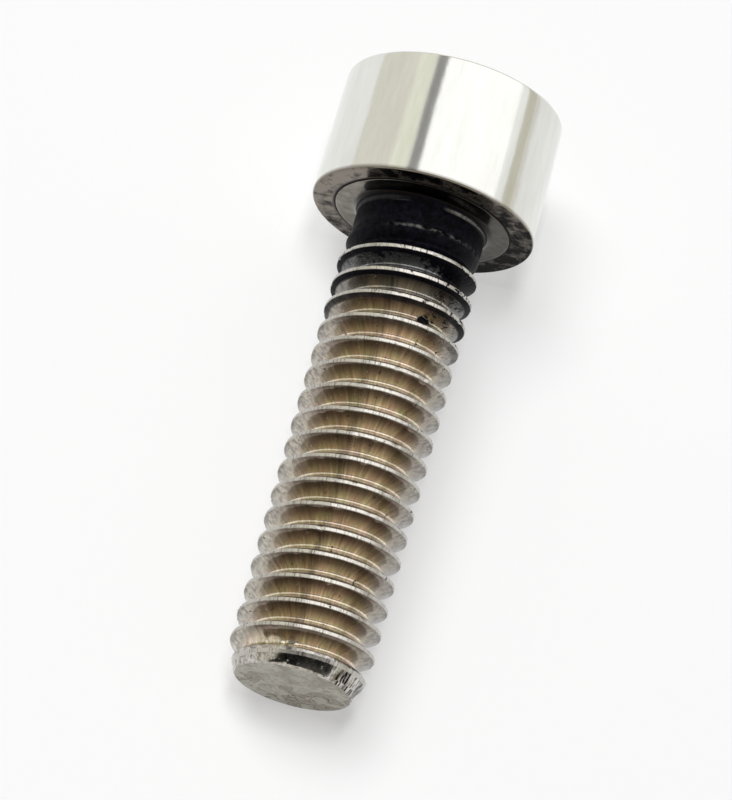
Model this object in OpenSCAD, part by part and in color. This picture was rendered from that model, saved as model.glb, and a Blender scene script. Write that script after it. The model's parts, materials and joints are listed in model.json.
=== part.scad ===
// Hex socket cap screw, one turned and thread-rolled piece of steel.
// It lies on its side as it comes to rest: the edge under its head and a thread crest near its tip
// touch the surface z = 0, and its tip points to -Y.
// The screw itself is drawn upright, with the face under its head at z = 0 and its tip below.

/* [Thread] */
// Diameter over the thread crests
thread_d = 7.8; // [7.5:0.05:8.2]
// Distance from one crest to the next
pitch = 1.411; // [1.25:0.001:1.5]
// Length from the face under the head to the tip
shank_l = 28.05; // [20:0.05:60]
// Width of the flat on the crests
crest_w = 0.1; // [0.05:0.01:0.2]

/* [Tip] */
// Diameter of the flat end face
tip_d = 6.45; // [5.5:0.05:6.7]
// Slope of the tip's taper, radius gained for each millimetre along the axis
tip_slope = 0.42; // [0.3:0.01:1]
// Distance from the end face to where the groove begins in the taper
groove_start = 0.9; // [0.2:0.1:1.5]
// How much deeper the groove gets for each millimetre that it climbs from there
groove_run_in = 1.3; // [0.8:0.1:3]

/* [Neck] */
// Diameter of the plain neck between thread and head
neck_d = 7.25; // [6.6:0.05:7.4]
// Length of the plain neck
neck_l = 1.6; // [1:0.1:4]
// Length over which the thread fades into the neck
fade_l = 1.7; // [0.5:0.1:3]
// Radius of the hollow round where neck and head meet
fillet_r = 0.4; // [0.1:0.05:0.6]

/* [Head] */
// Diameter of the head at its lower edge
head_d = 12.6; // [11.8:0.05:14]
// Diameter of the head below its top bevel, a little less than at the lower edge
head_top_d = 12.35; // [11.5:0.05:12.55]
// Height of the head
head_h = 7.6; // [7:0.05:10]
// Width of the bevel round the head's top
head_bevel_w = 0.6; // [0.2:0.05:1]
// Height of the bevel round the head's top
head_bevel_h = 0.22; // [0.1:0.02:1]
// Round on the head's lower edge
rim_r = 0.14; // [0.1:0.01:0.5]
// Diameter of the flat face that bears on the clamped part
seat_d = 9.9; // [9:0.1:10.5]
// How far the ring outside that face is set back
seat_back = 0.05; // [0.03:0.01:0.3]

/* [Socket] */
// Width of the hexagonal socket across its flats
socket_af = 6.35; // [5:0.01:6.6]
// Depth of the socket's flats
socket_depth = 4.4; // [3.5:0.1:4.6]
// Depth of the dish in the socket's floor
socket_dish = 0.4; // [0.1:0.05:0.6]
// Width of the bevel round the socket's mouth, outside the corners
socket_bevel = 0.15; // [0.05:0.05:0.4]

/* [Hidden] */

// 60 degree thread form: narrow flat crests, straight flanks and rounded roots
flank_end = 0.375;
flank_depth = (flank_end * pitch - crest_w / 2) * tan(60);
root_depth = 0.67 * pitch;
// Where crest and flank end, how far in each point lies, and where the root of its groove is,
// over one turn from root to root
form_place = [-0.5, -flank_end, -crest_w / pitch / 2, crest_w / pitch / 2, flank_end];
form_depth = [root_depth, flank_depth, 0, 0, flank_depth];
form_root = [-0.5, -0.5, -0.5, 0.5, 0.5];
form_n = len(form_place);

thread_r = thread_d / 2;
tip_r = tip_d / 2;
neck_r = neck_d / 2;
turn_steps = 36;
arc_steps = 6;
// How far from the tip the crest lies on the +X side, in pitches, below its first whole turn
crest_phase = 0.81;
// Thread surface inside the neck, hidden there so that both join in one solid
neck_lap = 0.03;
// Whole turns from below the tip until even the lowest groove has reached the neck
turns = ceil((shank_l - neck_l) / pitch - crest_phase + 2.5);

// How much of the thread form is left at height z: all below the fade, none from the neck on
function left_over(z) = min(1, max(0, (-neck_l - z) / fade_l));
// Radius of the tip's taper at height z, which no crest passes
function taper_radius(z) = tip_r + tip_slope * (shank_l + z);
// How far below the taper a groove may go, by the height of its root
function groove_reach(root_z) = groove_run_in * max(0, shank_l + root_z - groove_start);
// Radius of the threaded surface at height z, this far in from the crest
function thread_radius(z, depth, root_z) =
    let (rolled = max(taper_radius(z) - groove_reach(root_z), thread_r - depth),
         plain = neck_r - neck_lap)
    min(plain + (rolled - plain) * left_over(z), taper_radius(z));
// One point of the right-hand helix: step k round the axis, point j of the thread form
function helix_point(k, j) =
    let (angle = 360 * k / turn_steps,
         crest_z = -shank_l + pitch * (crest_phase - 2 + k / turn_steps),
         z = crest_z + pitch * form_place[j],
         r = thread_radius(z, form_depth[j], crest_z + pitch * form_root[j]))
    [r * cos(angle), r * sin(angle), z];

steps_all = turns * turn_steps;
// Form points 1 and up go round steps_all steps, and point 0 one turn further, where it
// closes the last band
rows_first = [for (k = [0:steps_all + turn_steps]) helix_point(k, 0)];
rows_rest = [for (k = [0:steps_all], j = [1:form_n - 1]) helix_point(k, j)];
below = [0, 0, -shank_l - 2 * pitch];
above = [0, 0, 0];
first_n = len(rows_first);
below_i = first_n + len(rows_rest);
above_i = below_i + 1;

// Index of point j at step k, where point form_n is point 0 one turn later
function point_at(k, j) = j == 0 ? k
    : j == form_n ? k + turn_steps
    : first_n + k * (form_n - 1) + j - 1;
// Edge of the helical surface at its start and at its end, in order
function rim_at(k) = concat([for (i = [0:turn_steps]) point_at(k + i, 0)],
                            [for (j = [form_n - 1:-1:1]) point_at(k, j)]);

// Resting tilt: the line that touches the head's lower round and the first crest, whose upper
// edge stands crest_at from the tip and crest_r from the axis
crest_at = pitch * (crest_phase + 0.25) + crest_w / 2;
crest_r = min(thread_r, taper_radius(crest_at - shank_l));
reach_y = shank_l + seat_back + rim_r - crest_at;
reach_z = head_d / 2 - rim_r - crest_r;
rest_tilt = atan2(reach_z, reach_y) + asin(rim_r / norm([reach_y, reach_z]));
rest_z = (shank_l - crest_at) * sin(rest_tilt) + crest_r * cos(rest_tilt);
// The resting screw reaches from its end face to its head's top edge, centred on the origin
rest_front = shank_l * cos(rest_tilt) + tip_r * sin(rest_tilt);
rest_back = max(head_h * cos(rest_tilt) + (head_top_d / 2 - head_bevel_w) * sin(rest_tilt),
                (head_h - head_bevel_h) * cos(rest_tilt) + head_top_d / 2 * sin(rest_tilt));
rest_y = (rest_front - rest_back) / 2;

// Points of an arc about [cx, cy] from angle a to angle b
function arc(cx, cy, r, a, b, n) =
    [for (i = [0:n]) let (t = a + (b - a) * i / n) [cx + r * cos(t), cy + r * sin(t)]];

module threaded_shank() {
    difference() {
        polyhedron(
            points = concat(rows_first, rows_rest, [below, above]),
            faces = concat(
                [for (k = [0:steps_all - 1], j = [0:form_n - 1], half = [0, 1])
                    half == 0
                        ? [point_at(k, j), point_at(k, j + 1), point_at(k + 1, j + 1)]
                        : [point_at(k, j), point_at(k + 1, j + 1), point_at(k + 1, j)]],
                let (rim = rim_at(0), n = len(rim))
                    [for (i = [0:n - 1]) [below_i, rim[i], rim[(i + 1) % n]]],
                let (rim = rim_at(steps_all), n = len(rim))
                    [for (i = [0:n - 1]) [above_i, rim[(i + 1) % n], rim[i]]]));
        // Cut square at the tip's end face
        translate([0, 0, -shank_l - 5 * pitch])
            cylinder(r = thread_d, h = 5 * pitch);
    }
}

module head_blank() {
    rotate_extrude($fn = 96)
        polygon(concat(
            [[0, -neck_l], [neck_r, -neck_l]],
            arc(neck_r + fillet_r, -fillet_r, fillet_r, 180, 90, arc_steps),
            [[seat_d / 2, 0]],
            arc(head_d / 2 - rim_r, rim_r + seat_back, rim_r, -90, 0, arc_steps),
            [[head_top_d / 2, head_h - head_bevel_h],
             [head_top_d / 2 - head_bevel_w, head_h],
             [0, head_h]]));
}

module socket() {
    corner_r = socket_af / 2 / cos(30);
    mouth_r = corner_r + socket_bevel;
    translate([0, 0, head_h - socket_depth])
        cylinder(r = corner_r, h = socket_depth + 1, $fn = 6);
    translate([0, 0, head_h - socket_depth - socket_dish])
        cylinder(r1 = 0, r2 = socket_af / 2, h = socket_dish, $fn = 48);
    translate([0, 0, head_h - mouth_r])
        cylinder(r1 = 0, r2 = mouth_r + 1, h = mouth_r + 1, $fn = 96);
}

module cap_screw() {
    color("silver")
        translate([0, rest_y, rest_z])
            rotate([rest_tilt - 90, 0, 0]) {
                difference() {
                    head_blank();
                    socket();
                }
                threaded_shank();
            }
}

cap_screw();
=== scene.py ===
import json
import math
from functools import partial

import bmesh
import bpy
from mathutils import Matrix, Vector, noise


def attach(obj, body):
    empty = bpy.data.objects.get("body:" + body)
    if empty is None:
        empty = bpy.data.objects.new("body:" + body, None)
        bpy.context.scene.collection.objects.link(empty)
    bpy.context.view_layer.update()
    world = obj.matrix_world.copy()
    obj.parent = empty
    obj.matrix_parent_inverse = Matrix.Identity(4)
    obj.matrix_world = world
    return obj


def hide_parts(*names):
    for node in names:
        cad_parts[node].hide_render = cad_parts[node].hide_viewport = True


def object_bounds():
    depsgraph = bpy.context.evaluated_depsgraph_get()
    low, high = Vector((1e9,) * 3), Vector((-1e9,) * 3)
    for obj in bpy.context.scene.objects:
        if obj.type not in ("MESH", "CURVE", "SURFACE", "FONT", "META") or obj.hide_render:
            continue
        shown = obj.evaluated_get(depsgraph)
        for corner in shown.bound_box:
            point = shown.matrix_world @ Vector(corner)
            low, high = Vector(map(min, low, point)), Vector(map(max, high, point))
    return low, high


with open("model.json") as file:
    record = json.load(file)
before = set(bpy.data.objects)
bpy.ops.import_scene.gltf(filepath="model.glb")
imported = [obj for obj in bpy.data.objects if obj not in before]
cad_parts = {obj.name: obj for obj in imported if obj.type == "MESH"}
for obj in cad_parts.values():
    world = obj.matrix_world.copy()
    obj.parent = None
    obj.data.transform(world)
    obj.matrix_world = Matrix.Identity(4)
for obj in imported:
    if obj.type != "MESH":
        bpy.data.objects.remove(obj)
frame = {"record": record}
cad_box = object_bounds()

# A millimetre in the scene's metres
MM = 0.001

# The screw's real sizes in millimetres, as in the part's source
thread_d = 7.8
pitch = 25.4 / 18
shank_l = 28.05
tip_d = 6.45
tip_slope = 0.42
neck_d = 7.25
neck_l = 1.6
fade_l = 1.7
groove_start = 0.9
groove_run_in = 1.3
fillet_r = 0.4
head_d = 12.6
head_top_d = 12.35
head_h = 7.6
head_bevel_w = 0.6
head_bevel_h = 0.22
rim_r = 0.14
seat_d = 9.9
seat_back = 0.05
socket_af = 6.35
socket_depth = 4.4
socket_dish = 0.4
socket_bevel = 0.15
# Round between the head's side and its top bevel
top_edge_r = 0.12

# Radii that more than one place needs
crest_r = thread_d / 2
tip_r = tip_d / 2
neck_r = neck_d / 2
seat_r = seat_d / 2
mouth_r = socket_af / 2 / math.cos(math.radians(30)) + socket_bevel

# The thread's form: 60 degree flanks, a narrow flat crest with round edges and a round root
crest_flat = 0.13
crest_round = 0.05
root_depth = 0.67 * pitch
flank_slope = math.tan(math.radians(30))
crest_half = crest_flat / 2 + crest_round * flank_slope
v_depth = (pitch / 2 - crest_half) / flank_slope
root_round = v_depth - root_depth
# How far from the tip the crest lies on the +X side, in pitches, below its first whole turn
crest_phase = 0.79
# Depths in from the crest of the two points on each straight flank
flank_depths = (0.53, 0.28)
steps_per_turn = 180

# How far the tip's taper swells between the end face and the first crest, the length of that
# swell, the length in which the groove gets its depth, and the round on the end face's edge
tip_swell = 0.03
swell_l = 1.7
run_in_l = 4
end_round = 0.11

# Torn metal where the groove starts in the taper: its depth everywhere, how much deeper it gets
# in places, and how many such places there are to a radian
torn_least = 0.1
torn_more = 0.3
tears_per_radian = 11

# Wear on the crests: strength of the long dents and of the small nicks, and how far down the
# flanks it goes
dent_strength = 0.05
nick_strength = 0.25
wear_reach = 0.16

# Points this close become one: between two turns of the thread, and where cuts and rings meet
turn_weld = 0.003
ring_weld = 0.0005
# How far off a cut its points may lie
cut_tolerance = 0.001

# Heights on the upright screw where one finish ends and the next begins: just above the end
# face, in the hollow round and in the head's side
end_face_top = 0.012 - shank_l
bare_bottom = -0.15
head_side = 1

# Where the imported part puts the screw: its tip, its head and the line between them
mounts = {m["name"]: m for m in frame["record"]["mounts"]}
axis = Vector(mounts["hex_socket"]["axis"]).normalized()
tip = Vector(mounts["thread"]["pos_m"])
seat_centre = tip + axis * shank_l * MM
down = axis.cross(Vector((1, 0, 0)))
turn = Matrix((Vector((1, 0, 0)), down, axis)).transposed()
lay_down = Matrix.Translation(seat_centre) @ turn.to_4x4() @ Matrix.Scale(MM, 4)
# A thousandth smaller about the middle of the part's box, and a hundredth of a millimetre
# higher, to stay inside it
shrink = 0.001
box_middle = (Vector(cad_box[0]) + Vector(cad_box[1])) / 2
lift = Vector((0, 0, 0.01 * MM))
shrunk = Matrix.Translation(box_middle * shrink + lift) @ Matrix.Scale(1 - shrink, 4)
lay_down = shrunk @ lay_down


def srgb(code):
    """Linear colour from a hex code."""
    parts = [int(code[i:i + 2], 16) / 255 for i in (0, 2, 4)]
    return [c / 12.92 if c <= 0.04045 else ((c + 0.055) / 1.055) ** 2.4 for c in parts] + [1.0]


def add_node(tree, kind, inputs=None, stops=(), **settings):
    """Adds a node with its fields, colour stops and inputs (values or links); gives its outputs."""
    node = tree.nodes.new("ShaderNode" + kind)
    for field, value in settings.items():
        setattr(node, field, value)
    for i, (place, code) in enumerate(stops):
        ramp = node.color_ramp.elements
        stop = ramp[i] if i < len(ramp) else ramp.new(place)
        stop.position = place
        stop.color = srgb(code)
    for key, value in (inputs or {}).items():
        if isinstance(value, bpy.types.NodeSocket):
            tree.links.new(value, node.inputs[key])
        else:
            node.inputs[key].default_value = value
    return node.outputs


# Mesh of the screw, drawn upright in millimetres with the face under its head at z = 0

def thread_form():
    """Radius and height of the thread's outline over one pitch, from root to root."""
    # Half of it as depth in from the crest and place along the screw: root, flank, crest's edge
    half = []
    for i in range(4):
        a = math.radians(20 * i)
        half.append((v_depth - 2 * root_round + root_round * math.cos(a),
                     pitch / 2 - root_round * math.sin(a)))
    for depth in flank_depths:
        half.append((depth, crest_half + depth * flank_slope))
    for i in (3, 2, 1, 0):
        a = math.radians(20 * i)
        half.append((crest_round * (1 - math.cos(a)), crest_flat / 2 + crest_round * math.sin(a)))
    lower = [(crest_r - depth, -place) for depth, place in half]
    upper = [(crest_r - depth, place) for depth, place in reversed(half)]
    return lower + upper


def one_turn(bm):
    """Spins the thread's outline through one turn of the helix."""
    verts = [bm.verts.new((r, 0, place)) for r, place in thread_form()]
    edges = [bm.edges.new(pair) for pair in zip(verts, verts[1:])]
    bmesh.ops.spin(bm, geom=verts + edges, cent=(0, 0, 0), axis=(0, 0, 1),
                   dvec=(0, 0, pitch / steps_per_turn), angle=math.tau,
                   steps=steps_per_turn, use_merge=False, use_duplicate=False)


def thread_turns(bm):
    """Stacks turns from below the tip to above the neck's lower end."""
    one_turn(bm)
    first = list(bm.verts) + list(bm.edges) + list(bm.faces)
    count = math.ceil((shank_l - neck_l) / pitch) + 2
    for i in range(1, count):
        copy = bmesh.ops.duplicate(bm, geom=first)["geom"]
        moved = [g for g in copy if isinstance(g, bmesh.types.BMVert)]
        bmesh.ops.translate(bm, verts=moved, vec=(0, 0, pitch * i))
    bmesh.ops.remove_doubles(bm, verts=bm.verts, dist=turn_weld)
    bmesh.ops.translate(bm, verts=bm.verts,
                        vec=(0, 0, -shank_l + pitch * (crest_phase - 2)))


def between(value, low, high):
    """0 at low, 1 at high, straight between."""
    return min(1, max(0, (value - low) / (high - low)))


def groove_reach(angle, up):
    """How far below the tip's taper the groove goes here, by the height of its root."""
    climbed = up / pitch - crest_phase - angle / math.tau
    off_crest = climbed - round(climbed)
    root_up = up - off_crest * pitch + math.copysign(pitch / 2, off_crest)
    ragged = noise.noise(Vector((angle * tears_per_radian, 0.3, up * 0.3)))
    torn = torn_least + torn_more * max(0, ragged)
    torn = torn * between(root_up, 0.3, 0.45) * between(up, 0, 0.15)
    return torn + groove_run_in * max(0, root_up - groove_start)


def crest_wear(place, depth):
    """Dents about 1 mm long and nicks a third of that, on the crests and fading down the flanks."""
    dents = max(0, noise.noise(place * 0.9) - 0.1) * dent_strength
    nicks = max(0, noise.noise(place * 3.1) - 0.32) * nick_strength
    return (dents + nicks) * between(depth, wear_reach, 0.0)


def shape_thread(bm):
    """Fades the thread into the neck, tapers it at the tip and wears its crests."""
    for v in bm.verts:
        flat = v.co.xy
        r = flat.length
        up = shank_l + v.co.z
        keep = between(-neck_l - v.co.z, 0, fade_l)
        r_new = neck_r + (r - neck_r) * keep
        swell = tip_swell * math.sin(math.pi * between(up, 0, swell_l))
        taper = tip_r + tip_slope * up + swell
        r_new = min(r_new, taper)
        if up < run_in_l:
            r_new = max(r_new, taper - groove_reach(math.atan2(flat.y, flat.x), up))
            r_new = min(r_new, taper)
        r_new -= crest_wear(v.co, crest_r - r_new) * keep
        v.co.xy = flat * (r_new / r)


def cut_flat(bm, height, keep_above):
    """Cuts the mesh square at a height and returns the open edges there."""
    geom = list(bm.verts) + list(bm.edges) + list(bm.faces)
    bmesh.ops.bisect_plane(bm, geom=geom, dist=0.0001, plane_co=(0, 0, height),
                           plane_no=(0, 0, 1), clear_inner=keep_above,
                           clear_outer=not keep_above)
    return [e for e in bm.edges if e.is_boundary
            and all(abs(v.co.z - height) < cut_tolerance for v in e.verts)]


def grow_ring(bm, edges, radius_at, height_at):
    """Extrudes an open ring to a new radius, by the angle round the axis, and to a new height,
    by that radius."""
    grown = bmesh.ops.extrude_edge_only(bm, edges=edges)["geom"]
    for v in (g for g in grown if isinstance(g, bmesh.types.BMVert)):
        a = math.atan2(v.co.y, v.co.x)
        r = radius_at(a)
        v.co = (r * math.cos(a), r * math.sin(a), height_at(r))
    return [g for g in grown if isinstance(g, bmesh.types.BMEdge) and g.is_boundary]


def arc(cx, cz, r, start, end, count):
    """Points of an arc in the radius and height plane, angles in degrees."""
    angles = [math.radians(start + (end - start) * i / count) for i in range(count + 1)]
    return [(cx + r * math.cos(a), cz + r * math.sin(a)) for a in angles]


def head_profile():
    """Radius and height of the neck and head, from the neck's lower end to the socket's mouth."""
    rim_x = head_d / 2 - rim_r
    top_r = head_top_d / 2
    low = rim_r + seat_back
    high = head_h - head_bevel_h - top_edge_r
    # Neck and hollow round
    points = [(neck_r, -neck_l + (neck_l - fillet_r) * f) for f in (0.25, 0.5, 0.75)]
    points += arc(neck_r + fillet_r, -fillet_r, fillet_r, 180, 90, 6)
    # Bearing face, and the ring set back outside it
    points += [(r, 0) for r in (4.3, 4.55, 4.8, seat_r - 0.05)]
    points += [(seat_r, 0.01), (seat_r + 0.03, seat_back)]
    points += [(seat_r + (rim_x - seat_r) * f, seat_back) for f in (0.2, 0.4, 0.6, 0.8)]
    # Lower edge, and the side that narrows a little towards the top
    points += arc(rim_x, low, rim_r, -90, 0, 6)
    for f in (0.02, 0.05, 0.1, 0.2, 0.3, 0.4, 0.5, 0.6, 0.7, 0.8, 0.9, 0.97):
        points.append((head_d / 2 + (top_r - head_d / 2) * f, low + (high - low) * f))
    # Upper edge, top bevel and top face
    points += arc(top_r - top_edge_r, high, top_edge_r, 0, 68, 4)
    points += [(top_r - head_bevel_w, head_h - 0.015), (top_r - head_bevel_w - 0.06, head_h)]
    points += [(4.9, head_h), (4.3, head_h)]
    points.append((mouth_r, head_h))
    return points


def hexagon(a):
    """Distance from the axis to the socket's wall at an angle."""
    sixth = math.radians(60)
    return socket_af / 2 / math.cos((a % sixth) - sixth / 2)


def add_head(bm, ring):
    """Grows neck, head, bevelled mouth and hexagonal socket from the thread's upper end."""
    for r, z in head_profile():
        ring = grow_ring(bm, ring, lambda a, r=r: r, lambda q, z=z: z)
    ring = grow_ring(bm, ring, hexagon, lambda r: head_h - (mouth_r - r))
    start = head_h - socket_bevel
    floor = head_h - socket_depth
    for i in range(1, 6):
        z = start + (floor - start) * i / 5
        ring = grow_ring(bm, ring, hexagon, lambda r, z=z: z)
    inner = socket_af / 2
    for f in (0.97, 0.7, 0.4, 0.15):
        ring = grow_ring(bm, ring, lambda a, f=f: inner * f,
                         lambda r: floor - socket_dish * (1 - r / inner))
    centre = list({v for e in ring for v in e.verts})
    bmesh.ops.pointmerge(bm, verts=centre, merge_co=(0, 0, floor - socket_dish))


def add_end_face(bm, ring):
    """Closes the tip with a flat face whose edge is a little rounded."""
    for r, up in ((tip_r + 0.015, 0.055), (tip_r - 0.03, 0.018), (tip_r - end_round, 0)):
        ring = grow_ring(bm, ring, lambda a, r=r: r, lambda q, up=up: up - shank_l)
    for r in (2.7, 2.2, 1.7, 1.2, 0.7, 0.25):
        ring = grow_ring(bm, ring, lambda a, r=r: r, lambda q: -shank_l)
    centre = list({v for e in ring for v in e.verts})
    bmesh.ops.pointmerge(bm, verts=centre, merge_co=(0, 0, -shank_l))


# Surface kinds of the screw, in the order of its material slots
POLISHED, ROLLED, CUT, SOCKET, BEARING = range(5)


def surface_kind(face):
    """Which finish a face of the upright screw has. The top of the hollow round counts as bearing
    face, because it is as bare."""
    centre = face.calc_center_median()
    r = centre.xy.length
    if centre.z < end_face_top:
        return CUT
    if centre.z < bare_bottom:
        return ROLLED
    if centre.z < head_side:
        return POLISHED if r > seat_r + 0.01 else BEARING
    return POLISHED if r > mouth_r - 0.01 else SOCKET


def new_object(name, bm):
    """An object of a finished bmesh, with its place in its mesh."""
    mesh = bpy.data.meshes.new(name)
    bm.to_mesh(mesh)
    bm.free()
    piece = bpy.data.objects.new(name, mesh)
    bpy.context.scene.collection.objects.link(piece)
    return piece


def build_screw():
    """The whole screw as one closed mesh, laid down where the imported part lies. Rounds shade
    smooth, and edges of 42 degrees and more stay sharp."""
    bm = bmesh.new()
    thread_turns(bm)
    shape_thread(bm)
    lower = cut_flat(bm, end_round - shank_l, keep_above=True)
    upper = cut_flat(bm, -neck_l, keep_above=False)
    add_head(bm, upper)
    add_end_face(bm, [e for e in lower if e.is_valid])
    bmesh.ops.remove_doubles(bm, verts=bm.verts, dist=ring_weld)
    bmesh.ops.recalc_face_normals(bm, faces=bm.faces)
    for face in bm.faces:
        face.material_index = surface_kind(face)
        face.smooth = True
    bmesh.ops.transform(bm, matrix=lay_down, verts=bm.verts)
    piece = new_object("cap_screw_steel", bm)
    piece.data.set_sharp_from_angle(angle=math.radians(42))
    return piece


# Materials. A noise scale counts marks to the millimetre, so 5.0 draws them 0.2 mm wide, and a
# bump's distance is the depth of its marks. Inputs go by number where names repeat: of MapRange,
# 1 and 2 are the range it reads, 3 and 4 the range it gives, else 0 to 1; of Mix, 0 is the
# share and 2 and 3 (numbers) or 6 and 7 (colours) are what it mixes.

def new_material(name, finish):
    """A material whose nodes are laid out by finish."""
    material = bpy.data.materials.new(name)
    material.use_nodes = True
    tree = material.node_tree
    tree.nodes.clear()
    finish(tree)
    return material


def upright(tree):
    """Millimetres on the upright screw, its radius and the thread's phase: 0 on a crest, +-0.5 in
    the roots, rising towards the head. ring is the spot moved out to the crests' radius, and drawn
    is ring pressed flat across each groove."""
    node = partial(add_node, tree)
    place = node("TexCoord")["Object"]
    stand_up = lay_down.inverted()
    spot = node("Mapping", {"Vector": place, "Location": stand_up.to_translation(),
                            "Rotation": stand_up.to_euler(), "Scale": stand_up.to_scale()})[0]
    x, y, z = node("SeparateXYZ", {0: spot})
    flat = node("CombineXYZ", {0: x, 1: y})[0]
    radius = node("VectorMath", {0: flat}, operation="LENGTH")[1]
    outward = node("VectorMath", {0: flat}, operation="NORMALIZE")[0]
    turns = node("Math", {0: y, 1: x}, operation="ARCTAN2")[0]
    pitches = node("Math", {0: z, 1: 1 / pitch, 2: shank_l / pitch - crest_phase + 0.5},
                   operation="MULTIPLY_ADD")[0]
    climbed = node("Math", {0: turns, 1: -1 / math.tau, 2: pitches}, operation="MULTIPLY_ADD")[0]
    of_turn = node("Math", {0: climbed}, operation="FRACT")[0]
    phase = node("Math", {0: of_turn, 1: 0.5}, operation="SUBTRACT")[0]
    height = node("CombineXYZ", {2: z})[0]
    ring = node("VectorMath", {0: outward, 1: (crest_r,) * 3, 2: height},
                operation="MULTIPLY_ADD")[0]
    # Nearly all height within a groove is taken out, so that streaks run across it
    pressed = node("Math", {0: phase, 1: -0.92 * pitch, 2: z}, operation="MULTIPLY_ADD")[0]
    low_height = node("CombineXYZ", {2: pressed})[0]
    drawn = node("VectorMath", {0: outward, 1: (crest_r,) * 3, 2: low_height},
                 operation="MULTIPLY_ADD")[0]
    return {"spot": spot, "x": x, "y": y, "z": z, "radius": radius, "phase": phase,
            "ring": ring, "drawn": drawn}


def buffed_plate(tree):
    """Bright nickel buffed along the head: clear reflections that waver a little, a fine grain,
    and black grime on the ring under it, with painted shade making it thickest low down and
    at the right. The buffing's own lines are too fine to show, so the grain is drawn 0.2 mm wide."""
    node = partial(add_node, tree)
    at = upright(tree)
    lengthwise = node("Mapping", {"Vector": at["ring"], "Scale": (1, 1, 0.12)})[0]
    haze = node("TexNoise", {"Vector": lengthwise, "Scale": 1.8, "Detail": 5.0,
                             "Roughness": 0.75})[0]
    tint = node("MapRange", {0: haze, 1: 0.35, 2: 0.7, 3: 0.0, 4: 0.35})[0]
    plate = node("Mix", {0: tint, 6: srgb("e6e6e1"), 7: srgb("c6c5be")}, data_type="RGBA")[2]
    fine = node("TexNoise", {"Vector": at["spot"], "Scale": 5.0, "Detail": 4.0,
                             "Roughness": 0.7})[0]
    coarse = node("TexNoise", {"Vector": at["spot"], "Scale": 1.3, "Detail": 3.0})[0]

    # Grime, mottled on the left, with painted shade that blackens most of the ring where it stands
    # lowest and at the right
    half_fine = node("Math", {0: fine, 1: 0.45}, operation="MULTIPLY")[0]
    mixed = node("Math", {0: coarse, 1: 0.9, 2: half_fine}, operation="MULTIPLY_ADD")[0]
    shade_to_right = node("Math", {0: at["x"], 1: 0.022, 2: mixed}, operation="MULTIPLY_ADD")[0]
    shaded_low_down = node("Math", {0: at["y"], 1: 0.02, 2: shade_to_right}, operation="MULTIPLY_ADD")[0]
    reach = node("MapRange", {0: at["z"], 1: 0.2, 2: 0.06, 3: 1.27, 4: 0.64})[0]
    excess = node("Math", {0: shaded_low_down, 1: reach}, operation="SUBTRACT")[0]
    grime_and_shade = node("MapRange", {0: excess, 1: -0.13, 2: 0.17})[0]
    # Painted shade: a thin dark line along the step at the bearing face's outer edge
    off_step = node("Math", {0: at["radius"], 1: seat_r + 0.04}, operation="SUBTRACT")[0]
    step_line = node("MapRange", {0: off_step, 1: 0.2, 2: 0.02})[0]
    under = node("MapRange", {0: at["z"], 1: 0.3, 2: 0.07})[0]
    step_shade = node("Math", {0: step_line, 1: under}, operation="MULTIPLY")[0]
    blackened = node("Math", {0: grime_and_shade, 1: step_shade}, operation="MAXIMUM")[0]
    # The ring under the head is drawn a darker brown-grey
    darker_ring = node("Mix", {0: under, 6: plate, 7: srgb("766e63")}, data_type="RGBA")[2]
    colour = node("Mix", {0: blackened, 6: darker_ring, 7: srgb("0e0b0a")}, data_type="RGBA")[2]
    roughness = node("MapRange", {0: blackened, 3: 0.12, 4: 0.5})[0]
    unblackened = node("Math", {0: 1.0, 1: blackened}, operation="SUBTRACT")[0]
    waver = node("Mapping", {"Vector": at["ring"], "Scale": (1, 1, 0.45)})[0]
    waves = node("TexNoise", {"Vector": waver, "Scale": 0.34, "Detail": 2.5, "Roughness": 0.5})[0]
    grain = node("Math", {0: fine, 1: 0.03, 2: waves}, operation="MULTIPLY_ADD")[0]
    bump = node("Bump", {"Height": grain, "Distance": 0.05 * MM, "Strength": 1.0})[0]
    surface = node("BsdfPrincipled", {"Base Color": colour, "Metallic": unblackened,
                                      "Roughness": roughness, "Specular IOR Level": 0.05,
                                      "Normal": bump})[0]
    node("OutputMaterial", {"Surface": surface})


def bearing_face(tree):
    """Bare steel under the head: rubbed smooth and grey, with smears 0.8 mm wide, painted shade
    that darkens it towards the right, and black where it meets the neck."""
    node = partial(add_node, tree)
    at = upright(tree)
    smear = node("TexNoise", {"Vector": at["spot"], "Scale": 1.3, "Detail": 4.0,
                              "Roughness": 0.65})[0]
    shade = node("MapRange", {0: smear, 1: 0.35, 2: 0.65})[0]
    rubbed = node("Mix", {0: shade, 6: srgb("696359"), 7: srgb("948f84")}, data_type="RGBA")[2]
    # Painted shade: the steel is drawn darker towards the right
    shade_to_right = node("MapRange", {0: at["x"], 1: -3.5, 2: 3.5, 3: 0.78, 4: 0.3})[0]
    steel = node("VectorMath", {0: rubbed, "Scale": shade_to_right}, operation="SCALE")[0]
    toward_neck = node("Math", {0: at["y"], 1: 0.12, 2: at["radius"]}, operation="MULTIPLY_ADD")[0]
    near_neck = node("MapRange", {0: toward_neck, 1: 3.95, 2: 3.75})[0]
    stain = node("Mix", {0: near_neck, 6: steel, 7: srgb("161210")}, data_type="RGBA")[2]
    bump = node("Bump", {"Height": smear, "Distance": 0.01 * MM, "Strength": 1.0})[0]
    surface = node("BsdfPrincipled", {"Base Color": stain, "Metallic": 1.0, "Roughness": 0.16,
                                      "Normal": bump})[0]
    node("OutputMaterial", {"Surface": surface})


# Larger blots of residue on the thread: place on the upright screw, and about how far each
# reaches to its sides. They are a third as high, and the mottle makes their edges uneven.
blots = (((1.72, -2.8, -6.72), 0.6), ((3.6, -1.5, -7.05), 0.6), ((3.5, -1.7, -5.65), 0.6),
         ((-2.9, -2.5, -4.3), 0.4), ((2.6, -2.6, -24.2), 0.32), ((-2.6, -2.5, -25.6), 0.3))


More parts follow.
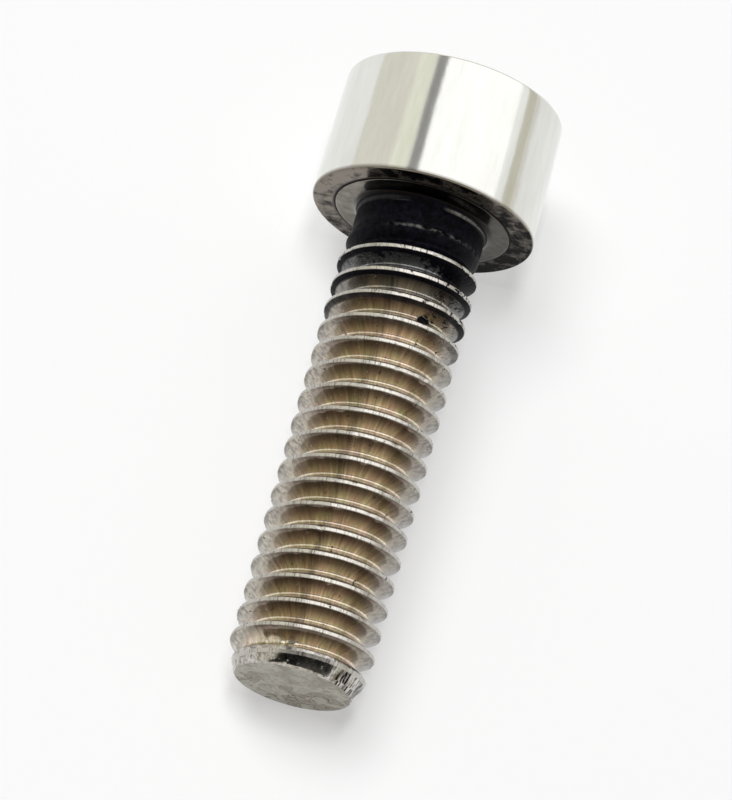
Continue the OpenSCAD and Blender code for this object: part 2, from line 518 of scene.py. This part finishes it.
def rolled_thread(tree):
    """Thread rolled between dies: a dried brown oil film drawn into fine streaks, with painted
    shade darkest under each crest and at the right and outer sides, and a painted highlight palest
    in the roots; crests worn bright and nicked, with painted shade towards both sides; the tip's
    taper rubbed to mottled silver; black greasy residue on the neck that thins out over the first
    grooves. The lines that dies leave are too fine to show, so streaks are drawn 0.2 mm wide and
    ticks 0.08 mm."""
    node = partial(add_node, tree)
    at = upright(tree)
    streaks = node("TexNoise", {"Vector": at["drawn"], "Scale": 4.6, "Detail": 4.0,
                                "Roughness": 0.75})[0]
    patches = node("TexNoise", {"Vector": at["ring"], "Scale": 0.55, "Detail": 3.0,
                                "Roughness": 0.6})[0]
    mottle = node("TexNoise", {"Vector": at["spot"], "Scale": 3.2, "Detail": 3.0,
                               "Roughness": 0.65})[0]
    smears = node("TexNoise", {"Vector": at["spot"], "Scale": 0.55, "Detail": 4.0,
                               "Roughness": 0.6})[0]
    ticks = node("TexNoise", {"Vector": at["drawn"], "Scale": 13.0, "Detail": 2.0,
                              "Roughness": 0.7})[0]
    smudges = node("TexNoise", {"Vector": at["spot"], "Scale": 1.4, "Detail": 2.0})[0]

    # Oil film over the thread's form, from root to root, with painted shade darkest just below each
    # crest and a painted highlight palest in the roots, shifted a little by the patches; at both
    # sides drawn as a plain mottled grey without streaks
    aside = node("Math", {0: at["x"]}, operation="ABSOLUTE")[0]
    middle = node("MapRange", {0: aside, 1: 3.35, 2: 2.7})[0]
    drift = node("Math", {0: patches, 1: 0.10, 2: -0.05}, operation="MULTIPLY_ADD")[0]
    shifted = node("Math", {0: at["phase"], 1: drift}, operation="ADD")[0]
    along = node("Math", {0: shifted, 1: 0.5}, operation="ADD")[0]
    film_shade_and_highlight = node("ValToRGB", {0: along}, stops=(
        (0.0, "efe8dc"), (0.14, "d6cdbf"), (0.28, "aea49b"), (0.40, "736a62"), (0.45, "4f4640"),
        (0.56, "847a70"), (0.75, "8a8175"), (0.92, "bcb39e"), (1.0, "efe8dc")))[0]
    dull = node("MapRange", {0: mottle, 1: 0.38, 2: 0.62})[0]
    side_film = node("Mix", {0: dull, 6: srgb("857d7a"), 7: srgb("bab5a6")}, data_type="RGBA")[2]
    tinge = node("MapRange", {0: smudges, 1: 0.4, 2: 0.6})[0]
    tinged = node("Mix", {0: tinge, 6: srgb("f8ece5"), 7: srgb("f6f4e6")}, data_type="RGBA")[2]
    tinged_shaded_film = node("VectorMath", {0: film_shade_and_highlight, 1: tinged}, operation="MULTIPLY")[0]
    film_across = node("Mix", {0: middle, 6: side_film, 7: tinged_shaded_film}, data_type="RGBA")[2]
    fine = node("Math", {0: ticks, 1: 0.5, 2: streaks}, operation="MULTIPLY_ADD")[0]
    strong = node("MapRange", {0: fine, 1: 0.58, 2: 0.92, 3: 0.64, 4: 1.18})[0]
    # Painted shade at both sides: darker towards the right and at the outermost edge
    shade_to_right = node("MapRange", {0: at["x"], 1: -3.0, 2: 3.0, 3: 1.08, 4: 0.76})[0]
    edge_shade = node("MapRange", {0: aside, 1: 3.6, 2: 3.85, 3: 1.0, 4: 0.45})[0]
    side_shade = node("Math", {0: shade_to_right, 1: edge_shade}, operation="MULTIPLY")[0]
    light = node("Mix", {0: middle, 2: side_shade, 3: strong}, data_type="FLOAT")[0]

    # Soot-like stain that darkens and greys the first grooves
    stain_level = node("Math", {0: smears, 1: 3.0, 2: at["z"]}, operation="MULTIPLY_ADD")[0]
    stain = node("MapRange", {0: stain_level, 1: -6.6, 2: -2.9})[0]
    dimmed = node("Math", {0: stain, 1: -0.62, 2: 1.0}, operation="MULTIPLY_ADD")[0]
    tone = node("Math", {0: light, 1: dimmed}, operation="MULTIPLY")[0]
    streaked = node("VectorMath", {0: film_across, "Scale": tone}, operation="SCALE")[0]
    grey = node("RGBToBW", {0: streaked})[0]
    greyed = node("MapRange", {0: stain_level, 1: -4.6, 2: -2.9})[0]
    stained = node("Mix", {0: greyed, 6: streaked, 7: grey}, data_type="RGBA")[2]

    # Taper at the tip, cut by dark nicks where the groove begins
    cone = node("Math", {0: at["z"], 1: tip_slope, 2: tip_r + tip_slope * shank_l},
                operation="MULTIPLY_ADD")[0]
    inside = node("Math", {0: cone, 1: at["radius"]}, operation="SUBTRACT")[0]
    on_cone = node("MapRange", {0: inside, 1: 0.1, 2: 0.05})[0]
    silver = node("Mix", {0: dull, 6: srgb("8d8781"), 7: srgb("cfcbc4")}, data_type="RGBA")[2]
    bars = node("MapRange", {0: streaks, 1: 0.50, 2: 0.47})[0]
    at_right = node("MapRange", {0: at["x"], 1: 1.5, 2: 2.1})[0]
    torn = node("Math", {0: bars, 1: at_right}, operation="MULTIPLY")[0]
    nicked_cone = node("Mix", {0: torn, 6: silver, 7: srgb("14110f")}, data_type="RGBA")[2]
    body = node("Mix", {0: on_cone, 6: stained, 7: nicked_cone}, data_type="RGBA")[2]

    # Crests worn bright, crossed by thin dark nicks, with painted shade that darkens them towards
    # both sides
    off_crest = node("Math", {0: at["phase"]}, operation="ABSOLUTE")[0]
    nicked = node("MapRange", {0: streaks, 1: 0.34, 2: 0.44, 3: 0.5})[0]
    worn = node("MapRange", {0: off_crest, 1: 0.085, 2: 0.06})[0]
    bright = node("Math", {0: worn, 1: nicked}, operation="MULTIPLY")[0]
    ticked = node("MapRange", {0: ticks, 1: 0.32, 2: 0.48})[0]
    worn_steel = node("Mix", {0: ticked, 6: srgb("a7a199"), 7: srgb("dedad2")},
                      data_type="RGBA")[2]
    crest_shade_aside = node("MapRange", {0: aside, 1: 0.8, 2: 2.4, 3: 1.0, 4: 0.72})[0]
    crest = node("VectorMath", {0: worn_steel, "Scale": crest_shade_aside}, operation="SCALE")[0]
    steel = node("Mix", {0: bright, 6: body, 7: crest}, data_type="RGBA")[2]

    # Residue: whole on the neck and in the first groove at its sides; black also drawn in thin
    # lines just below the next crests
    level = node("Math", {0: smears, 1: 2.5, 2: at["z"]}, operation="MULTIPLY_ADD")[0]
    lumpy = node("Math", {0: mottle, 1: 2.6, 2: level}, operation="MULTIPLY_ADD")[0]
    sideways = node("Math", {0: aside, 1: 0.16, 2: lumpy}, operation="MULTIPLY_ADD")[0]
    rightward = node("Math", {0: at["x"], 1: 0.13, 2: sideways}, operation="MULTIPLY_ADD")[0]
    whole = node("MapRange", {0: rightward, 1: -1.55, 2: -0.8})[0]
    upper_side = node("MapRange", {0: at["phase"], 1: -0.22, 2: -0.18})[0]
    lower_side = node("MapRange", {0: at["phase"], 1: -0.05, 2: -0.08})[0]
    below_crest = node("Math", {0: upper_side, 1: lower_side}, operation="MULTIPLY")[0]
    lower = node("MapRange", {0: level, 1: -7.2, 2: -4.6})[0]
    lines_below_crests = node("Math", {0: below_crest, 1: lower}, operation="MULTIPLY")[0]
    black = node("Math", {0: whole, 1: lines_below_crests}, operation="MAXIMUM")[0]
    kept = node("Math", {0: bright, 1: -0.96, 2: 1.0}, operation="MULTIPLY_ADD")[0]
    in_thread = node("MapRange", {0: at["z"], 1: -2.6, 2: -2.9})[0]
    wiped = node("Mix", {0: in_thread, 2: 1.0, 3: kept}, data_type="FLOAT")[0]
    residue = node("Math", {0: black, 1: wiped}, operation="MULTIPLY")[0]

    # Bare glints on the low ridge at the neck's end, and where the neck runs out into its round
    glint_line = node("MapRange", {0: off_crest, 1: 0.17, 2: 0.03})[0]
    broken = node("MapRange", {0: mottle, 1: 0.46, 2: 0.66, 4: 0.22})[0]
    right_of = node("MapRange", {0: at["x"], 1: -2.2, 2: 0.0})[0]
    glinting = node("Math", {0: broken, 1: right_of}, operation="MULTIPLY")[0]
    glints = node("Math", {0: glint_line, 1: glinting}, operation="MULTIPLY")[0]
    on_neck = node("MapRange", {0: at["z"], 1: -2.7, 2: -2.3})[0]
    below_seat = node("MapRange", {0: at["z"], 1: -1.2, 2: -1.5})[0]
    ridge = node("Math", {0: on_neck, 1: below_seat}, operation="MULTIPLY")[0]
    bare_ridge = node("Math", {0: glints, 1: ridge}, operation="MULTIPLY")[0]
    off_round = node("Math", {0: at["z"], 1: 0.36}, operation="ADD")[0]
    near_round = node("Math", {0: off_round}, operation="ABSOLUTE")[0]
    round_line = node("MapRange", {0: near_round, 1: 0.16, 2: 0.06})[0]
    beside = node("MapRange", {0: aside, 1: 0.9, 2: 1.8, 4: 0.4})[0]
    bare_round = node("Math", {0: round_line, 1: beside}, operation="MULTIPLY")[0]
    bare = node("Math", {0: bare_ridge, 1: bare_round}, operation="MAXIMUM")[0]
    left_black = node("Math", {0: residue, 1: bare}, operation="SUBTRACT", use_clamp=True)[0]

    # Black specks, more of them on the right of the first grooves
    near_head = node("MapRange", {0: at["z"], 1: -9.0, 2: -6.8})[0]
    right_side = node("MapRange", {0: at["x"], 1: 0.5, 2: 2.2})[0]
    more = node("Math", {0: near_head, 1: right_side}, operation="MULTIPLY")[0]
    spotted = node("Math", {0: more, 1: 0.1, 2: mottle}, operation="MULTIPLY_ADD")[0]
    specks = node("MapRange", {0: spotted, 1: 0.67, 2: 0.72})[0]
    blackened = node("Math", {0: left_black, 1: specks}, operation="MAXIMUM")[0]
    flattened = node("VectorMath", {0: at["spot"], 1: (1, 1, 3)}, operation="MULTIPLY")[0]
    for (x, y, z), size in blots:
        apart = node("VectorMath", {0: flattened, 1: (x, y, 3 * z)}, operation="DISTANCE")[1]
        uneven = node("Math", {0: mottle, 1: -0.8, 2: apart}, operation="MULTIPLY_ADD")[0]
        blot = node("MapRange", {0: uneven, 1: size - 0.4, 2: size - 0.48})[0]
        blackened = node("Math", {0: blackened, 1: blot}, operation="MAXIMUM")[0]
    grease = node("Mix", {0: dull, 6: srgb("020203"), 7: srgb("101018")}, data_type="RGBA")[2]
    colour = node("Mix", {0: blackened, 6: steel, 7: grease}, data_type="RGBA")[2]
    metallic = node("Math", {0: 1.0, 1: blackened}, operation="SUBTRACT")[0]
    base_rough = node("Mix", {0: on_cone, 2: 0.17, 3: 0.12}, data_type="FLOAT")[0]
    smooth = node("Mix", {0: blackened, 2: base_rough, 3: 0.45}, data_type="FLOAT")[0]
    worn_rough = node("Math", {0: bright, 1: 0.27}, operation="MULTIPLY")[0]
    roughness = node("Math", {0: smooth, 1: worn_rough}, operation="MAXIMUM")[0]
    lumps = node("Math", {0: mottle, 1: blackened}, operation="MULTIPLY")[0]
    off_cone = node("Math", {0: on_cone, 1: -0.9, 2: 1.0}, operation="MULTIPLY_ADD")[0]
    in_grooves = node("Math", {0: middle, 1: off_cone}, operation="MULTIPLY")[0]
    fine_streaks = node("Math", {0: streaks, 1: in_grooves}, operation="MULTIPLY")[0]
    relief = node("Math", {0: lumps, 1: 4.0, 2: fine_streaks}, operation="MULTIPLY_ADD")[0]
    bump = node("Bump", {"Height": relief, "Distance": 0.01 * MM, "Strength": 1.0})[0]
    surface = node("BsdfPrincipled", {"Base Color": colour, "Metallic": metallic,
                                      "Roughness": roughness, "Specular IOR Level": 0.05,
                                      "Normal": bump})[0]
    node("OutputMaterial", {"Surface": surface})


def sheared_end(tree):
    """Bar end left as cut: matt grey, with uneven patches over 1 mm wide, grit of 0.2 mm, brown
    specks and a thin brown curve."""
    node = partial(add_node, tree)
    at = upright(tree)
    patches = node("TexNoise", {"Vector": at["spot"], "Scale": 0.75, "Detail": 4.0,
                                "Roughness": 0.6, "Distortion": 0.6})[0]
    grit = node("TexNoise", {"Vector": at["spot"], "Scale": 4.5, "Detail": 3.0,
                             "Roughness": 0.7})[0]
    ground = node("ValToRGB", {0: patches}, stops=(
        (0.30, "8b857b"), (0.42, "98948a"), (0.50, "a3a096"), (0.58, "b1afa4"),
        (0.72, "949087")))[0]
    gritty = node("MapRange", {0: grit, 1: 0.5, 2: 0.75, 3: 0.0, 4: 0.7})[0]
    specked = node("Mix", {0: gritty, 6: ground, 7: srgb("6a6258")}, data_type="RGBA")[2]
    off_curve = node("Math", {0: patches, 1: 0.455}, operation="SUBTRACT")[0]
    from_curve = node("Math", {0: off_curve}, operation="ABSOLUTE")[0]
    curve = node("MapRange", {0: from_curve, 1: 0.02, 2: 0.005, 4: 0.8})[0]
    low = node("MapRange", {0: at["y"], 1: -0.6, 2: 0.3})[0]
    low_curve = node("Math", {0: curve, 1: low}, operation="MULTIPLY")[0]
    colour = node("Mix", {0: low_curve, 6: specked, 7: srgb("5d4333")}, data_type="RGBA")[2]
    height = node("Math", {0: grit, 1: 0.35, 2: patches}, operation="MULTIPLY_ADD")[0]
    bump = node("Bump", {"Height": height, "Distance": 0.12 * MM, "Strength": 1.0})[0]
    surface = node("BsdfPrincipled", {"Base Color": colour, "Metallic": 1.0, "Roughness": 0.5,
                                      "Normal": bump})[0]
    node("OutputMaterial", {"Surface": surface})


def punched_socket(tree):
    """Hexagon punched in the head: duller steel with scratches along its depth, drawn 0.25 mm
    wide so that they show."""
    node = partial(add_node, tree)
    at = upright(tree)
    lengthwise = node("Mapping", {"Vector": at["spot"], "Scale": (1, 1, 0.1)})[0]
    scratches = node("TexNoise", {"Vector": lengthwise, "Scale": 4.0, "Detail": 3.0,
                                  "Roughness": 0.6})[0]
    shade = node("MapRange", {0: scratches, 1: 0.4, 2: 0.7})[0]
    colour = node("Mix", {0: shade, 6: srgb("8d8880"), 7: srgb("bfbab0")}, data_type="RGBA")[2]
    bump = node("Bump", {"Height": scratches, "Distance": 0.015 * MM, "Strength": 1.0})[0]
    surface = node("BsdfPrincipled", {"Base Color": colour, "Metallic": 1.0, "Roughness": 0.34,
                                      "Normal": bump})[0]
    node("OutputMaterial", {"Surface": surface})


# Camera: its place, turn and lens come from a fit to the photo's crests, rims and end face
camera_place = (-0.333 * MM, -125.213 * MM, 253.435 * MM)
camera_turn = (25.74, -6.941, 14.071)
camera_lens = 229.4


def add_camera():
    """A long lens at the photo's viewing angle."""
    data = bpy.data.cameras.new("camera")
    data.lens = camera_lens
    data.sensor_width = 36
    camera = bpy.data.objects.new("camera", data)
    bpy.context.scene.collection.objects.link(camera)
    camera.location = camera_place
    camera.rotation_euler = [math.radians(angle) for angle in camera_turn]
    bpy.context.scene.camera = camera


def flat_sheet(name, place, facing, size):
    """A rectangle at a place, facing a direction."""
    bm = bmesh.new()
    bmesh.ops.create_grid(bm, x_segments=1, y_segments=1, size=0.5)
    bmesh.ops.scale(bm, vec=(*size, 1), verts=bm.verts)
    facing = Vector(facing)
    level = Vector((0, 1, 0))
    side = level.cross(facing).normalized()
    level = facing.cross(side).normalized()
    turned = Matrix((side, level, facing.normalized())).transposed().to_4x4()
    bmesh.ops.transform(bm, matrix=Matrix.Translation(place) @ turned, verts=bm.verts)
    return new_object(name, bm)


def seen_directly(tree):
    """1 for what camera, metal and glass see, 0 for the light that falls on things."""
    ray = add_node(tree, "LightPath")
    seen = add_node(tree, "Math", {0: ray["Is Camera Ray"], 1: ray["Is Glossy Ray"]},
                    operation="ADD")[0]
    return add_node(tree, "Math", {0: seen, 1: ray["Is Transmission Ray"]}, operation="ADD",
                    use_clamp=True)[0]


def white_paper(tree):
    """Smooth white paper, shown lighter than its shade, so that the shadow on it stays soft."""
    paper = add_node(tree, "BsdfDiffuse", {"Color": srgb("fbfbfb")})[0]
    white = add_node(tree, "Emission", {"Strength": 1.0})[0]
    lightened = add_node(tree, "MapRange", {0: seen_directly(tree), 4: 0.4})[0]
    mixed = add_node(tree, "MixShader", {0: lightened, 1: paper, 2: white})[0]
    add_node(tree, "OutputMaterial", {"Surface": mixed})


def add_floor():
    """The paper that the screw lies on."""
    floor = flat_sheet("floor", (0, 0, 0), (0, 0, 1), (6, 6))
    floor.data.materials.append(new_material("white_paper", white_paper))


def lit_card(tree, code, strength):
    """Card that glows evenly in one colour."""
    glow = add_node(tree, "Emission", {"Color": srgb(code), "Strength": strength})[0]
    add_node(tree, "OutputMaterial", {"Surface": glow})


def show_in_metal(sheet, code, strength=1.0):
    """Makes a sheet glow in a colour and show only in what reflects it."""
    finish = partial(lit_card, code=code, strength=strength)
    sheet.data.materials.append(new_material(sheet.name, finish))
    sheet.visible_camera = False
    sheet.visible_diffuse = False
    sheet.visible_shadow = False


def band(name, code, start, end, front=-0.7, back=0.9, strength=1.0, away=0.8,
         pointed=False, lean=0.0):
    """A curved card along the screw, from one angle off the upright to another (degrees, right
    positive) and from front to back. A pointed one narrows to its ends; lean moves them apart."""
    bm = bmesh.new()
    bmesh.ops.create_grid(bm, x_segments=32, y_segments=1, size=1.0)
    for v in bm.verts:
        turned = math.radians((start + end + (end - start) * v.co.x) / 2)
        half = (back - front) / 2
        if pointed:
            half *= math.sqrt(max(0, 1 - v.co.x ** 2))
        y = (front + back) / 2 + half * v.co.y + lean * v.co.x
        v.co = (away * math.sin(turned), y, away * math.cos(turned))
    show_in_metal(new_object(name, bm), code, strength)


def soft_lamp(name, power, place, size):
    """An area lamp that faces the screw and doesn't show in its metal."""
    data = bpy.data.lights.new(name, "AREA")
    data.energy = power
    data.shape = "RECTANGLE"
    data.size, data.size_y = size
    lamp = bpy.data.objects.new(name, data)
    bpy.context.scene.collection.objects.link(lamp)
    lamp.location = place
    lamp.rotation_mode = "QUATERNION"
    lamp.rotation_quaternion = Vector(place).to_track_quat("Z", "Y")
    lamp.visible_glossy = False


# Strength of the even light that falls on things from the whole room
room_light = 0.2


def add_world():
    """Even white room light. Camera sees white, metal sees pale warm walls."""
    world = bpy.data.worlds.new("studio")
    bpy.context.scene.world = world
    world.use_nodes = True
    tree = world.node_tree
    tree.nodes.clear()
    metal_sees = add_node(tree, "LightPath")["Is Glossy Ray"]
    walls = add_node(tree, "Mix", {0: metal_sees, 6: srgb("ffffff"), 7: srgb("ebe8e0")},
                     data_type="RGBA")[2]
    strength = add_node(tree, "MapRange", {0: seen_directly(tree), 3: room_light, 4: 1.0})[0]
    sky = add_node(tree, "Background", {"Color": walls, "Strength": strength})[0]
    add_node(tree, "OutputWorld", {"Surface": sky})


screw = build_screw()
# In the order of the surface kinds
for name, finish in (("buffed_nickel_plate", buffed_plate),
                     ("rolled_thread_steel", rolled_thread),
                     ("sheared_bar_end", sheared_end),
                     ("punched_socket_steel", punched_socket),
                     ("bare_bearing_face", bearing_face)):
    screw.data.materials.append(new_material(name, finish))
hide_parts("cap_screw")
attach(screw, "root")

add_camera()
add_floor()
add_world()
# A small lamp above gives the shadow its edge, a broad one at the upper left its soft side
soft_lamp("overhead", 3.1, (0, 0.02, 0.9), (0.14, 0.3))
soft_lamp("key", 4.0, (-0.3, 0.22, 0.87), (0.42, 0.44))
# The head's stripes, from the softbox outwards on both sides
band("softbox", "ffffff", -18, 64, front=-0.35, back=0.6, strength=1.35)
band("softbox_rim", "ffffff", 64, 74)
band("right_rail", "d0cdbf", 74, 86)
band("left_rail", "9b9a9a", -28, -18)
band("left_window", "f8f8ea", -46, -29)
band("left_wall", "e9e7dd", -98, -46)
# The black lens in the tip's taper, the warm upper flanks and the dark lower ones
band("open_front", "050506", -68, 66, front=-0.57, back=-0.305, away=0.66, pointed=True, lean=0.1)
back_wall = flat_sheet("back_wall", (0, 0.9, 0.6), (0, -1, 0), (2.4, 1.1))
show_in_metal(back_wall, "ecc28a")
front_curtain = flat_sheet("front_curtain", (0.25, -0.9, 0.33), (0, 1, 0), (1.3, 0.62))
show_in_metal(front_curtain, "050506")

bpy.context.scene.view_settings.view_transform = "Standard"
